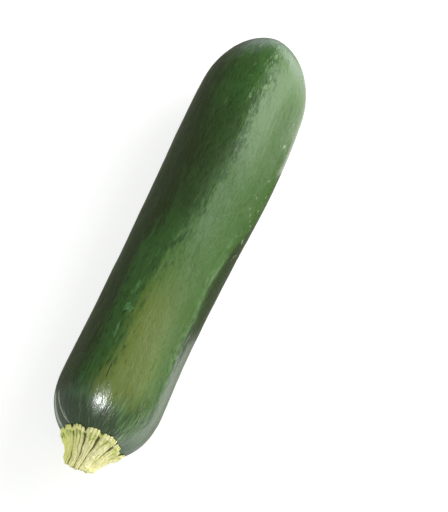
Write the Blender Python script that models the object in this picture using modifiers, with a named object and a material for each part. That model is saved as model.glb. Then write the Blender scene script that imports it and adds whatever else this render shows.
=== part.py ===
"""A zucchini as picked, lying on its side: the fruit and the short cut stem that it keeps.

Metres, +Z up. The fruit lies along X, with its stem towards -X and its blossom end towards +X. The
origin is at the middle of the bounding box, on the surface that the fruit lies on.

Both pieces are first described in the fruit's own round coordinates: station is the distance along
the fruit from the pole under its stem, radius the distance from its centre line, and angle goes
round it, from the +Y side over the top. laid_down() turns these into a place in the scene.
"""

import math
import random

import bmesh
import bpy
from mathutils import Vector

# The fruit
FRUIT_LENGTH = 0.190
GIRTH = (  # (share of the length, radius of the body there), before the two ends are rounded off
    (0.00, 0.0212),
    (0.12, 0.0210),
    (0.30, 0.0203),
    (0.50, 0.0212),
    (0.70, 0.0224),
    (0.86, 0.0214),
    (1.00, 0.0183),
)
SHOULDER_LENGTH, SHOULDER_POWER = 0.025, 2.2
TIP_LENGTH, TIP_POWER = 0.030, 2.1
BOW = -0.0008  # how far the middle of the centre line stands off a straight one, towards +Y
SWAY = 0.0008  # how far it also swings to each side, in an S

# The five low ridges that run along the fruit
RIDGES = 5
RIDGE_HEIGHT = 0.00040
RIDGE_ANGLE = math.radians(86)  # one ridge runs along the top
RIDGE_TWIST = math.radians(11)  # how far the ridges turn from the stem to the blossom end
SIDE_RIB_SHARE = 0.22  # the weaker ribs between the ridges
RIDGE_FADE = 1.5  # how fast they fade towards the poles

# The corky scar that the flower left
SCAR_RADIUS = 0.0046
SCAR_DEPTH = 0.0007
SCAR_KNOB_RADIUS, SCAR_KNOB_HEIGHT = 0.0016, 0.0008

# The spots that it lies on
STEM_END_SPOT, TIP_END_SPOT = 0.030, 0.140  # stations that touch the surface
SPOT_DEPTH = 0.0004

# The stem
JOINT_GAP = 0.0004
EDGE_THICKNESS = 0.0008
NECK_RADIUS, CUT_RADIUS = 0.0068, 0.0053
NECK_WAIST = 0.0005  # how far the stem pulls in past its neck
FLARE_BELLY, WAIST_HEIGHT = 0.34, 0.52  # where its hollow side bends, as shares of width and length
STEM_LENGTH = 0.0063  # from the fruit's pole to the middle of the cut
STEM_LEAN = 0.12  # how far it leans towards +Y for each unit of its length
CUT_SLOPE = math.radians(33)  # the cut leans, so one side of the stem is longer
LONG_SIDE_ANGLE = math.radians(98)  # where round the stem it is longest
LOBES = (  # (angle in degrees at which a rib and its lobe start, how far over the fruit it reaches in mm)
    (84.0, 14.4),
    (108.5, 14.2),
    (141.0, 13.6),
    (158.0, 12.2),
    (169.0, 8.8),
    (176.0, 13.4),
    (192.0, 12.6),
    (213.0, 13.1),
    (237.0, 13.6),
    (260.0, 12.7),
    (283.0, 13.3),
    (307.0, 13.7),
    (331.0, 12.6),
    (352.0, 11.9),
    (372.0, 12.2),
    (395.0, 13.0),
    (417.5, 13.5),
)
MM = 0.001
NOTCH_DEPTH = 0.0011  # how far the gap between two lobes is cut back behind the shorter one
LOBE_SQUARENESS, LOBE_ROUNDNESS = 3.2, 0.6
RIB_HEIGHT = 0.00042
STRANDS_PER_RIB, STRAND_HEIGHT = 3, 0.00014  # the finer ribs on each rib
RIB_ROUNDNESS = 0.55  # below 1, the crests are broad and the grooves narrow
RIB_START = 0.30  # the share of the flare over which the ribs rise to their full height
RIM_NOTCH = 0.00045  # how far the grooves cut back the rim round the cut
RIM_SPREAD = 0.00040  # how unlike each other the rib ends are there
CUT_WAVES, CUT_WAVE_TWIST, CUT_WAVE_HEIGHT = 4, 9, 0.00025  # the uneven face of the cut
SEED = 11

# How finely the two are divided
FRUIT_SIDES = 60
BODY_RINGS, SHOULDER_RINGS, TIP_RINGS, SCAR_RINGS = 14, 10, 9, 5
STEM_SIDES = 180
FLARE_RINGS, SEAT_RINGS, CUT_RINGS = 9, 4, 4
MERGE = 1e-5


def eased(stations, t):
    """The value at t on a smooth curve through (place, value) pairs."""
    places = [place for place, _ in stations]
    values = [value for _, value in stations]
    last = len(stations) - 1
    i = max(0, min(last - 1, sum(place <= t for place in places) - 1))
    span = places[i + 1] - places[i]

    def slope(k):
        low, high = max(k - 1, 0), min(k + 1, last)
        return (values[high] - values[low]) / (places[high] - places[low])

    u = (t - places[i]) / span
    return (
        (2 * u**3 - 3 * u**2 + 1) * values[i]
        + (u**3 - 2 * u**2 + u) * span * slope(i)
        + (3 * u**2 - 2 * u**3) * values[i + 1]
        + (u**3 - u**2) * span * slope(i + 1)
    )


def rounded_off(distance, length, power):
    """The share of the full radius this far from a pole, on an end rounded like a superellipse."""
    inward = max(0.0, 1 - distance / length)
    return max(0.0, 1 - inward**power) ** (1 / power)


def plain_radius(station):
    """The fruit's radius before its ridges."""
    shoulder = rounded_off(station, SHOULDER_LENGTH, SHOULDER_POWER)
    tip = rounded_off(FRUIT_LENGTH - station, TIP_LENGTH, TIP_POWER)
    return eased(GIRTH, station / FRUIT_LENGTH) * shoulder * tip


def ridge_rise(station, radius, angle):
    """How far the ridges lift the surface, or the hollows between them lower it."""
    share = station / FRUIT_LENGTH
    turn = angle - RIDGE_ANGLE - RIDGE_TWIST * share
    wave = math.cos(RIDGES * turn) + SIDE_RIB_SHARE * math.cos(2 * RIDGES * turn)
    full = eased(GIRTH, min(max(share, 0.0), 1.0))
    return RIDGE_HEIGHT * wave * (radius / full) ** RIDGE_FADE


def centre_line(station):
    """Where the fruit's centre line passes, as (Y, Z), at a height that lets both spots touch."""
    share = station / FRUIT_LENGTH
    low_side = math.radians(-90)

    def underside(at):
        radius = plain_radius(at)
        return radius + ridge_rise(at, radius, low_side)

    start, end = underside(STEM_END_SPOT), underside(TIP_END_SPOT)
    climb = (end - start) / (TIP_END_SPOT - STEM_END_SPOT)
    height = start + climb * (station - STEM_END_SPOT)
    aside = BOW * math.sin(math.pi * share) + SWAY * math.sin(2 * math.pi * share)
    return aside, height - SPOT_DEPTH


def laid_down(station, radius, angle):
    """The place in the scene of a point given in the fruit's round coordinates."""
    y, z = centre_line(station)
    return Vector(
        (
            station - FRUIT_LENGTH / 2,
            y + radius * math.cos(angle),
            z + radius * math.sin(angle),
        )
    )


def shoulder_station(radius):
    """The station at which the fruit's shoulder has this radius: its dome under the stem."""
    share = min(radius / GIRTH[0][1], 1.0)
    return SHOULDER_LENGTH * (
        1 - (1 - share**SHOULDER_POWER) ** (1 / SHOULDER_POWER)
    )


def scar_dip(radius):
    """How far the scar's dish lies below the rounded blossom end, with the knob in its middle."""
    across = min(radius / SCAR_RADIUS, 1.0)
    knob = math.exp(-((radius / SCAR_KNOB_RADIUS) ** 2))
    return SCAR_DEPTH * (1 - across**4) - SCAR_KNOB_HEIGHT * knob


def fruit_outline():
    """(radius, station) points from the blossom end's pole to the stem's."""
    tip_full = eased(GIRTH, 1 - TIP_LENGTH / FRUIT_LENGTH)
    points = []
    for i in range(SCAR_RINGS):
        radius = SCAR_RADIUS * i / SCAR_RINGS
        dome = TIP_LENGTH * (
            1 - (1 - (radius / tip_full) ** TIP_POWER) ** (1 / TIP_POWER)
        )
        points.append((radius, FRUIT_LENGTH - dome - scar_dip(radius)))
    rim = math.asin((SCAR_RADIUS / tip_full) ** (TIP_POWER / 2))
    for i in range(TIP_RINGS + 1):
        turn = rim + (math.pi / 2 - rim) * i / TIP_RINGS
        station = FRUIT_LENGTH - TIP_LENGTH * (1 - math.cos(turn) ** (2 / TIP_POWER))
        points.append((plain_radius(station), station))
    body = FRUIT_LENGTH - TIP_LENGTH - SHOULDER_LENGTH
    for i in range(1, BODY_RINGS):
        station = FRUIT_LENGTH - TIP_LENGTH - body * i / BODY_RINGS
        points.append((plain_radius(station), station))
    for i in range(SHOULDER_RINGS, -1, -1):
        turn = math.pi / 2 * i / SHOULDER_RINGS
        station = SHOULDER_LENGTH * (1 - math.cos(turn) ** (2 / SHOULDER_POWER))
        points.append((plain_radius(station), station))
    return points


def turned(name, outline, sides):
    """A mesh turned round Z from (radius, height) points, which run from the top pole to the bottom one."""
    mesh = bpy.data.meshes.new(name + "_outline")
    vertices = [(radius, 0, height) for radius, height in outline]
    edges = [(i, i + 1) for i in range(len(outline) - 1)]
    mesh.from_pydata(vertices, edges, [])
    guide = bpy.data.objects.new(name + "_outline", mesh)
    bpy.context.scene.collection.objects.link(guide)
    screw = guide.modifiers.new("Turn", "SCREW")
    screw.steps = screw.render_steps = sides
    screw.use_merge_vertices = True
    screw.merge_threshold = MERGE
    graph = bpy.context.evaluated_depsgraph_get()
    solid = bpy.data.meshes.new_from_object(guide.evaluated_get(graph))
    solid.name = name
    bpy.data.objects.remove(guide)
    return solid


def make_fruit():
    """The turned body with its ridges, laid down and flattened a little where it touches the surface."""
    mesh = turned("fruit", fruit_outline(), FRUIT_SIDES)
    for vertex in mesh.vertices:
        x, y, station = vertex.co
        radius, angle = math.hypot(x, y), math.atan2(y, x)
        place = laid_down(station, radius + ridge_rise(station, radius, angle), angle)
        place.z = max(place.z, 0.0)
        vertex.co = place
    return mesh


def lobe_place(angle):
    """Which lobe lies at this angle, counted from the first, and as a fraction how far across it."""
    starts = [start for start, _ in LOBES]
    ends = starts[1:] + [starts[0] + 360]
    turn = (math.degrees(angle) - starts[0]) % 360 + starts[0]
    number = sum(start <= turn for start in starts) - 1
    return number, (turn - starts[number]) / (ends[number] - starts[number])


def rib_crest(across):
    """1 on the crest of a rib or strand, falling to 0 in the narrow grooves at its two sides."""
    return abs(math.sin(math.pi * across)) ** RIB_ROUNDNESS


def edge_reach(number, across):
    """How far the stem's ragged edge reaches over the fruit: each rib ends in a squarish lobe."""
    own = LOBES[number][1] * MM
    neighbour = LOBES[(number + (1 if across > 0.5 else -1)) % len(LOBES)][1] * MM
    notch = min(own, neighbour) - NOTCH_DEPTH
    lobe = (1 - abs(2 * across - 1) ** LOBE_SQUARENESS) ** LOBE_ROUNDNESS
    return notch + (own - notch) * lobe


def flare_point(t, edge_radius, edge_station, rim_station):
    """(radius, station) on the stem's hollow flare, from its edge (t = 0) to the cut's rim (t = 1)."""
    belly_radius = NECK_RADIUS + FLARE_BELLY * (edge_radius - NECK_RADIUS)
    handles = (
        (edge_radius, edge_station),
        (belly_radius, shoulder_station(NECK_RADIUS) - 2 * JOINT_GAP),
        (NECK_RADIUS - NECK_WAIST, WAIST_HEIGHT * rim_station),
        (CUT_RADIUS, rim_station),
    )
    weights = ((1 - t) ** 3, 3 * t * (1 - t) ** 2, 3 * t**2 * (1 - t), t**3)
    return tuple(sum(w * h[k] for w, h in zip(weights, handles)) for k in (0, 1))


def stem_sections():
    """The stem as closed rings of (station, radius, angle): seat, edge, flare, cut rim and cut face."""
    draw = random.Random(SEED)
    rim_reach = [draw.uniform(-1, 1) * RIM_SPREAD for _ in LOBES]
    columns = []
    for side in range(STEM_SIDES):
        angle = 2 * math.pi * side / STEM_SIDES
        number, across = lobe_place(angle)
        edge = edge_reach(number, across)

        def seat(radius, lift=0.0, angle=angle):
            ridges = ridge_rise(shoulder_station(radius), radius, angle)
            return shoulder_station(radius) - JOINT_GAP - max(ridges, 0.0) - lift

        column = []
        for i in range(1, SEAT_RINGS + 1):
            radius = edge * i / SEAT_RINGS
            column.append((seat(radius), radius))
        longer = math.tan(CUT_SLOPE) * CUT_RADIUS * math.cos(angle - LONG_SIDE_ANGLE)
        rib_end = rib_crest(across)
        rim = -STEM_LENGTH - longer + RIM_NOTCH * (1 - rib_end) - rim_reach[number] * rib_end
        for i in range(FLARE_RINGS + 1):
            t = i / FLARE_RINGS
            radius, station = flare_point(t, edge, seat(edge, EDGE_THICKNESS), rim)
            ribs = RIB_HEIGHT * (2 * rib_end - 1)
            ribs += STRAND_HEIGHT * (2 * rib_crest(STRANDS_PER_RIB * across) - 1)
            column.append((station, radius + ribs * min(1.0, t / RIB_START)))
        rim_radius = column[-1][1]
        for i in range(1, CUT_RINGS):
            share = 1 - i / CUT_RINGS
            wave = CUT_WAVE_HEIGHT * math.cos(CUT_WAVES * angle + CUT_WAVE_TWIST * share)
            station = -STEM_LENGTH - CUT_WAVE_HEIGHT - (longer - wave) * share
            column.append((station, rim_radius * share))
        columns.append([(station, radius, angle) for station, radius in column])
    return [list(ring) for ring in zip(*columns)]


def leaning(station, radius, angle):
    """The place in the scene of a point of the stem, which leans a little past the end of the fruit."""
    place = laid_down(station, radius, angle)
    place.y += STEM_LEAN * max(0.0, -station)
    return place


def make_stem():
    """A loft through the stem's rings, closed at a pole in the seat and another in the cut face."""
    mesh = bmesh.new()
    rings = [
        [mesh.verts.new(leaning(*point)) for point in section]
        for section in stem_sections()
    ]
    for lower, upper in zip(rings, rings[1:]):
        for i in range(STEM_SIDES):
            j = (i + 1) % STEM_SIDES
            mesh.faces.new((lower[i], lower[j], upper[j], upper[i]))
    seat_pole = mesh.verts.new(leaning(-JOINT_GAP, 0.0, 0.0))
    cut_pole = mesh.verts.new(leaning(-STEM_LENGTH - CUT_WAVE_HEIGHT, 0.0, 0.0))
    for pole, ring in ((seat_pole, rings[0]), (cut_pole, rings[-1])):
        for i in range(STEM_SIDES):
            mesh.faces.new((pole, ring[i], ring[(i + 1) % STEM_SIDES]))
    bmesh.ops.recalc_face_normals(mesh, faces=mesh.faces)
    made = bpy.data.meshes.new("stem")
    mesh.to_mesh(made)
    mesh.free()
    return made


def material(name, colour, roughness):
    """A plain opaque finish."""
    made = bpy.data.materials.new(name)
    made.use_nodes = True
    shader = made.node_tree.nodes["Principled BSDF"]
    shader.inputs["Base Color"].default_value = (*colour, 1.0)
    shader.inputs["Roughness"].default_value = roughness
    shader.inputs["Metallic"].default_value = 0.0
    return made


def add_node(name, mesh, finish, carrier, collection):
    """One named piece of the zucchini, smooth all over, on the empty that carries the whole."""
    mesh.materials.clear()
    mesh.materials.append(finish)
    mesh.shade_smooth()
    piece = bpy.data.objects.new(name, mesh)
    piece.parent = carrier
    collection.objects.link(piece)
    return piece


def centre_on_origin(carrier, pieces):
    """Moves the whole so that the origin is at the middle of its box, on the surface that it lies on."""
    corners = [vertex.co for piece in pieces for vertex in piece.data.vertices]
    low = [min(corner[k] for corner in corners) for k in range(3)]
    high = [max(corner[k] for corner in corners) for k in range(3)]
    carrier.location = (-(low[0] + high[0]) / 2, -(low[1] + high[1]) / 2, -low[2])


def main():
    for leftover in list(bpy.data.objects):
        bpy.data.objects.remove(leftover)
    collection = bpy.data.collections.new("zucchini")
    bpy.context.scene.collection.children.link(collection)
    carrier = bpy.data.objects.new("zucchini", None)
    collection.objects.link(carrier)
    skin = material("fruit_skin", (0.030, 0.085, 0.022), 0.32)
    stub = material("stem_skin", (0.55, 0.56, 0.17), 0.60)
    pieces = [
        add_node("fruit", make_fruit(), skin, carrier, collection),
        add_node("stem", make_stem(), stub, carrier, collection),
    ]
    centre_on_origin(carrier, pieces)


main()
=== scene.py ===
"""The looks of a zucchini as picked, lying on its side on a pale studio floor.

It has a waxy skin and a ribbed stem. Metres, +Z up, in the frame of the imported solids. The fruit lies
along X, with its stem towards -X.

As in the solids, the two pieces are first described in the fruit's own round coordinates: station is the
distance along the fruit from the pole under its stem, radius the distance from its centre line, and angle
goes round it, from the +Y side over the top.
"""

import math
import random

import bpy
import numpy as np
from mathutils import Matrix, Vector, noise


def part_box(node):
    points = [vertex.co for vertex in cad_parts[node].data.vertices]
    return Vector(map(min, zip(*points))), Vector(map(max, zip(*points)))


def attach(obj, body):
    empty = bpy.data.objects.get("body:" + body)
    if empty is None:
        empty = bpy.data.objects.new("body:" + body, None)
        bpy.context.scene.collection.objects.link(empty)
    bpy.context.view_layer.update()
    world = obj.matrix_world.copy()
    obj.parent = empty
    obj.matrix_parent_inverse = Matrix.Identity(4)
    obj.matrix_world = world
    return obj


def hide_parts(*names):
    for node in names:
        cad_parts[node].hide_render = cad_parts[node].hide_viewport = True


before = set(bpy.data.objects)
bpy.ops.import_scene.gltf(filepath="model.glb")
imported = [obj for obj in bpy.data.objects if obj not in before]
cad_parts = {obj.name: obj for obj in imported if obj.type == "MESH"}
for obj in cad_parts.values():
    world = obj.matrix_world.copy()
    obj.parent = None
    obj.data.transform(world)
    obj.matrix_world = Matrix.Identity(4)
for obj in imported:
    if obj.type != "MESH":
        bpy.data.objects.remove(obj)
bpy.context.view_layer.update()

MM = 0.001

# The fruit's form, as in the solids
FRUIT_LENGTH = 0.190
GIRTH = (  # (share of the length, radius of the body there), before the two ends are rounded off
    (0.00, 0.0212),
    (0.12, 0.0210),
    (0.30, 0.0203),
    (0.50, 0.0212),
    (0.70, 0.0224),
    (0.86, 0.0214),
    (1.00, 0.0183),
)
SHOULDER_LENGTH, SHOULDER_POWER = 0.025, 2.2
TIP_LENGTH, TIP_POWER = 0.030, 2.1
BOW, SWAY = -0.0008, 0.0008
RIDGES = 5
RIDGE_HEIGHT = 0.00040
RIDGE_ANGLE = math.radians(86)
RIDGE_TWIST = math.radians(11)
SIDE_RIB_SHARE = 0.22
RIDGE_FADE = 1.5
SCAR_RADIUS, SCAR_DEPTH = 0.0046, 0.0007
SCAR_KNOB_RADIUS, SCAR_KNOB_HEIGHT = 0.0016, 0.0008
STEM_END_SPOT, TIP_END_SPOT = 0.030, 0.140
SPOT_DEPTH = 0.0004

# The stem's form, as in the solids
NECK_RADIUS, CUT_RADIUS = 0.0068, 0.0053
NECK_WAIST = 0.0005
FLARE_BELLY, WAIST_HEIGHT = 0.34, 0.52
JOINT_GAP = 0.0004
STEM_LENGTH = 0.0063
CUT_SLOPE = math.radians(33)
LONG_SIDE_ANGLE = math.radians(98)
STEM_LEAN = 0.12  # how far it leans towards +Y for each unit of its length
RIB_HEIGHT = 0.00042
# Each lobe of its foot: the angle in degrees at which it and its rib start, and how far it reaches in mm
LOBES = (
    (84.0, 14.4),
    (108.5, 14.2),
    (141.0, 13.6),
    (158.0, 12.2),
    (169.0, 8.8),
    (176.0, 13.4),
    (192.0, 12.6),
    (213.0, 13.1),
    (237.0, 13.6),
    (260.0, 12.7),
    (283.0, 13.3),
    (307.0, 13.7),
    (331.0, 12.6),
    (352.0, 11.9),
    (372.0, 12.2),
    (395.0, 13.0),
    (417.5, 13.5),
)
RIM_NOTCH, RIM_SPREAD = 0.00045, 0.00040

# How finely the skin is divided
SKIN_SIDES = 288
SHOULDER_ROWS, BODY_ROWS, TIP_ROWS, SCAR_ROWS = 72, 180, 66, 16

# The skin's unevenness: (size round the fruit, size along it, height)
LUMPS = ((0.011, 0.030, 0.00014), (0.0036, 0.0095, 0.00007), (0.0017, 0.0042, 0.000028))
LUMP_SHIFT = 17.3  # each size of lump is looked up this much further on in the noise
LUMP_FADE = 1.5
NOISE_GAIN = 1.6  # the noise alone seldom passes 0.6
RIGHT_RIDGE_ANGLE, RIGHT_RIDGE_WIDTH, RIGHT_RIDGE_HEIGHT = math.radians(150), 0.0014, 0.00032
RIGHT_RIDGE_SWING, RIGHT_RIDGE_WAVE = math.radians(1.6), 0.0043  # it winds this far to each side
RIGHT_RIDGE_START, RIGHT_RIDGE_END, RIGHT_RIDGE_FADE = 0.030, 0.095, 0.016
BELLY_CLEARANCE = 0.00003

# The stem's finer form
STEM_SIDES = 660
SEAT_RINGS, LIP_RINGS, FLARE_RINGS, CUT_RINGS = 4, 7, 92, 34
LOBE_SQUARENESS, LOBE_ROUNDNESS = 3.2, 0.6
NOTCH_DEPTH = 0.0011
KNUCKLES = 63  # the small rounded tips along the lobes' border
KNUCKLE_REACH, KNUCKLE_SPREAD, KNUCKLE_ROUNDNESS = 0.00034, 0.00026, 0.6
FOOT_WANDER, CUT_WANDER = 0.014, 0.034  # how far the ribs stray from their angles, at foot and cut
FOOT_WAVES, CUT_WAVES = range(3, 9), range(2, 8)
RING_SPACING = 1.2  # above 1, so that the rings are closer together at the foot
LIP_THIN, LIP_THICK = 0.00020, 0.00100
LIP_PLAIN, LIP_KNUCKLED = 0.55, 0.45  # the lip's thickness between the knuckles, and what they add
LIP_OVERHANG = 0.5
LIP_ROLL, ROLL_PLACE, ROLL_WIDTH = 0.00030, 0.035, 0.03
RIB_START = 0.30
RIB_ROUNDNESS = 0.55
STRANDS_PER_RIB = 3
STRAND_HEIGHT, STRAND_DRIFT, STRAND_WIDTH, STRAND_RUN = 0.00027, 0.85, 0.0022, 0.0044
STRAND_STRENGTH, STRENGTH_SPREAD, STRENGTH_GRAIN = 0.75, 0.9, 1.3
RIB_FOOT, STRAND_FOOT, STRAND_START = 0.25, 0.3, 0.1  # how much of them there is at the lip itself
STEM_LUMPS = ((0.0010, 0.00017), (0.0021, 0.00025))
LUMP_START, LUMP_FOOT, LUMP_GROWTH = 0.06, 0.7, 0.6
GROOVE_WIDTH = 0.085  # how wide a groove looks, as a share of a rib
GROOVE_DEPTH, GROOVE_SPREAD, GROOVE_GRAIN, GROOVE_LIMITS = 0.66, 1.5, 0.8, (0.36, 0.85)
# Where in the noise the strands' drift, their strength, the grooves' depth and the lumps are looked up
DRIFT_PLACE, STRENGTH_PLACE, GROOVE_PLACE, LUMP_PLACE = 4.0, 9.0, 21.0, 7.0
# How much of a crest a point is for its colour: as such and by its strand, groove and lump, and on the lip
CREST, CREST_STRAND, CREST_GROOVE, CREST_LUMP = 0.80, 0.32, 0.75, 0.06
LIP_CREST, KNUCKLE_CREST = 0.25, 0.75
END_BULGE, BULGE_PLACE, BULGE_WIDTH = 0.00040, 0.88, 0.10
RIM_SMOOTHING, RIM_BELOW, RIM_ABOVE = 14, 7, 6  # how often the rim is smoothed, and over how many rings
PITS, PIT_RING, PIT_DEPTH, PIT_WIDTH = 10, 0.62, 0.00042, 0.00042
PITH_DEPTH, PITH_SHARE, PITH_STAR, PITH_POINTS, PITH_EDGE = 0.00075, 0.34, 0.22, 5, 0.20
CUT_GRAINS = ((0.0007, 0.00010), (0.0022, 0.00016))  # sizes and heights of the cut's roughness
CUT_NOISE_HEIGHT = 0.003
CUT_START = 0.12  # the share of the cut's radius over which its roughness sets in
CUT_CREST, CUT_CREST_DEPTH = 0.75, 0.0008
UV_MARGIN = 0.03
SEED = 11

# The camera: where it stands, seen from the fruit, and what it sees in a picture of 448 x 512 pixels
PICTURE_WIDTH, PICTURE_HEIGHT = 448, 512
CAMERA_ELEVATION, CAMERA_AZIMUTH = math.radians(65), math.radians(-157)
CAMERA_DISTANCE = 0.8
FOCAL_PIXELS = 2035
MIDDLE_PIXEL = (186.0, 240.1)  # where the fruit's middle appears
MIDDLE_HEIGHT = 0.02
SENSOR = 36.0


def eased(stations, t):
    """The values at t on a smooth curve through (place, value) pairs."""
    places, values = np.array(stations).T
    last = len(places) - 1
    k = np.arange(last + 1)
    low, high = np.maximum(k - 1, 0), np.minimum(k + 1, last)
    slopes = (values[high] - values[low]) / (places[high] - places[low])
    i = np.clip(np.searchsorted(places, t, side="right") - 1, 0, last - 1)
    span = places[i + 1] - places[i]
    u = (t - places[i]) / span
    return (
        (2 * u**3 - 3 * u**2 + 1) * values[i]
        + (u**3 - 2 * u**2 + u) * span * slopes[i]
        + (3 * u**2 - 2 * u**3) * values[i + 1]
        + (u**3 - u**2) * span * slopes[i + 1]
    )


def rounded_off(distance, length, power):
    """The share of the full radius at a distance from the pole of an end rounded like a superellipse."""
    inward = np.clip(1 - distance / length, 0, 1)
    return np.maximum(0, 1 - inward**power) ** (1 / power)


def plain_radius(station):
    """The fruit's radius before its ridges."""
    shoulder = rounded_off(station, SHOULDER_LENGTH, SHOULDER_POWER)
    tip = rounded_off(FRUIT_LENGTH - station, TIP_LENGTH, TIP_POWER)
    return eased(GIRTH, station / FRUIT_LENGTH) * shoulder * tip


def ridge_rise(station, radius, angle):
    """How far the ridges lift the surface, or the hollows between them lower it."""
    share = station / FRUIT_LENGTH
    turn = angle - RIDGE_ANGLE - RIDGE_TWIST * share
    wave = np.cos(RIDGES * turn) + SIDE_RIB_SHARE * np.cos(2 * RIDGES * turn)
    full = eased(GIRTH, np.clip(share, 0, 1))
    return RIDGE_HEIGHT * wave * (radius / full) ** RIDGE_FADE


def centre_line(station):
    """Where the fruit's centre line passes, as (Y, Z), in the fruit's own frame."""
    spots = np.array([STEM_END_SPOT, TIP_END_SPOT])
    radius = plain_radius(spots)
    start, end = radius + ridge_rise(spots, radius, math.radians(-90))
    climb = (end - start) / (TIP_END_SPOT - STEM_END_SPOT)
    share = station / FRUIT_LENGTH
    aside = BOW * np.sin(math.pi * share) + SWAY * np.sin(2 * math.pi * share)
    return aside, start + climb * (station - STEM_END_SPOT) - SPOT_DEPTH


def laid_down(station, radius, angle):
    """The places of points given in the fruit's round coordinates, in the fruit's own frame."""
    y, z = centre_line(station)
    across, upwards = y + radius * np.cos(angle), z + radius * np.sin(angle)
    return np.stack([station - FRUIT_LENGTH / 2, across, upwards], axis=-1)


def shoulder_station(radius):
    """The station at which the fruit's shoulder has this radius: its dome under the stem."""
    share = np.minimum(radius / GIRTH[0][1], 1.0)
    return SHOULDER_LENGTH * (1 - (1 - share**SHOULDER_POWER) ** (1 / SHOULDER_POWER))


def scar_dip(radius):
    """How far the scar's dish lies below the rounded blossom end, with the knob in its middle."""
    across = np.minimum(radius / SCAR_RADIUS, 1.0)
    knob = np.exp(-((radius / SCAR_KNOB_RADIUS) ** 2))
    return SCAR_DEPTH * (1 - across**4) - SCAR_KNOB_HEIGHT * knob


def skin_outline():
    """The fruit's outline as radii and stations, from the stem's pole to the blossom end's."""
    turn = math.pi / 2 * np.arange(SHOULDER_ROWS + 1) / SHOULDER_ROWS
    shoulder = SHOULDER_LENGTH * (1 - np.cos(turn) ** (2 / SHOULDER_POWER))
    tip_start = FRUIT_LENGTH - TIP_LENGTH
    body = np.linspace(SHOULDER_LENGTH, tip_start, BODY_ROWS + 1)[1:]
    tip_full = eased(GIRTH, np.array([tip_start / FRUIT_LENGTH]))[0]
    rim = math.asin((SCAR_RADIUS / tip_full) ** (TIP_POWER / 2))
    turn = math.pi / 2 - (math.pi / 2 - rim) * np.arange(1, TIP_ROWS + 1) / TIP_ROWS
    tip = FRUIT_LENGTH - TIP_LENGTH * (1 - np.cos(turn) ** (2 / TIP_POWER))
    stations = np.concatenate([shoulder, body, tip])
    radii = plain_radius(stations)
    scar_radii = SCAR_RADIUS * (1 - np.arange(1, SCAR_ROWS + 1) / SCAR_ROWS)
    dome = TIP_LENGTH * (1 - (1 - (scar_radii / tip_full) ** TIP_POWER) ** (1 / TIP_POWER))
    scar = FRUIT_LENGTH - dome - scar_dip(scar_radii)
    return np.concatenate([radii, scar_radii]), np.concatenate([stations, scar])


def noise_at(points):
    """Smooth noise between about -1 and 1 at an array of points, the same on every run."""
    flat = points.reshape(-1, 3)
    values = [noise.noise(Vector(point)) for point in flat.tolist()]
    return np.array(values).reshape(points.shape[:-1])


def round_place(radius, angle, height):
    """Points round an axis, for their grain or to look up noise at."""
    height = np.broadcast_to(height, np.shape(angle))
    return np.stack([radius * np.cos(angle), radius * np.sin(angle), height], axis=-1)


def lumps(angle, along, fade):
    """The skin's own unevenness, drawn out along the fruit."""
    full = GIRTH[0][1]
    rise = np.zeros_like(angle)
    for k, (across, lengthwise, height) in enumerate(LUMPS):
        place = round_place(full / across, angle, along / lengthwise + LUMP_SHIFT * k)
        rise += NOISE_GAIN * height * noise_at(place)
    return rise * fade


def step_up(distance, width):
    """A smooth step from 0 to 1 where the distance passes 0, most of it within this width."""
    return 1 / (1 + np.exp(-distance / width * 4))


def right_ridge(station, radius, angle):
    """The narrow ridge that runs along part of the fruit's right side."""
    middle = RIGHT_RIDGE_ANGLE + RIGHT_RIDGE_SWING * np.sin(station / RIGHT_RIDGE_WAVE)
    away = (angle - middle) * radius / RIGHT_RIDGE_WIDTH
    start = step_up(station - RIGHT_RIDGE_START, RIGHT_RIDGE_FADE)
    end = step_up(RIGHT_RIDGE_END - station, RIGHT_RIDGE_FADE)
    return RIGHT_RIDGE_HEIGHT * np.exp(-(away**2)) * start * end


def grid_mesh(name, points, poles, uv_rows):
    """A closed mesh from rings of points, with a pole at each end, and a map of its surface for baking."""
    rings, sides = points.shape[:2]
    vertices = np.concatenate([points.reshape(-1, 3), np.array(poles)])
    ring = np.arange(rings - 1)[:, None] * sides
    side = np.arange(sides)[None, :]
    after = (side + 1) % sides
    quads = np.stack([ring + side, ring + after, ring + sides + after, ring + sides + side], axis=-1)
    quads = quads.reshape(-1, 4)
    first, last = rings * sides, rings * sides + 1
    column, following = np.arange(sides), (np.arange(sides) + 1) % sides
    start = np.stack([np.full(sides, first), following, column], axis=-1)
    end = (rings - 1) * sides
    stop = np.stack([np.full(sides, last), end + column, end + following], axis=-1)
    mesh = bpy.data.meshes.new(name)
    mesh.from_pydata(vertices.tolist(), [], quads.tolist() + start.tolist() + stop.tolist())
    u = np.arange(sides + 1) / sides
    left, low = np.broadcast_arrays(u[:-1], uv_rows[:-1, None])
    right, high = np.broadcast_arrays(u[1:], uv_rows[1:, None])
    quad_uv = np.stack([left, low, right, low, right, high, left, high], axis=-1).reshape(-1, 2)
    middle = (u[:-1] + u[1:]) / 2
    zero, one = np.zeros(sides), np.ones(sides)
    near, far = np.full(sides, uv_rows[0]), np.full(sides, uv_rows[-1])
    start_uv = np.stack([middle, zero, u[1:], near, u[:-1], near], axis=-1).reshape(-1, 2)
    stop_uv = np.stack([middle, one, u[:-1], far, u[1:], far], axis=-1).reshape(-1, 2)
    layer = mesh.uv_layers.new(name="OFBake")
    layer.data.foreach_set("uv", np.concatenate([quad_uv, start_uv, stop_uv]).astype(np.float32).ravel())
    mesh.shade_smooth()
    return mesh


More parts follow.
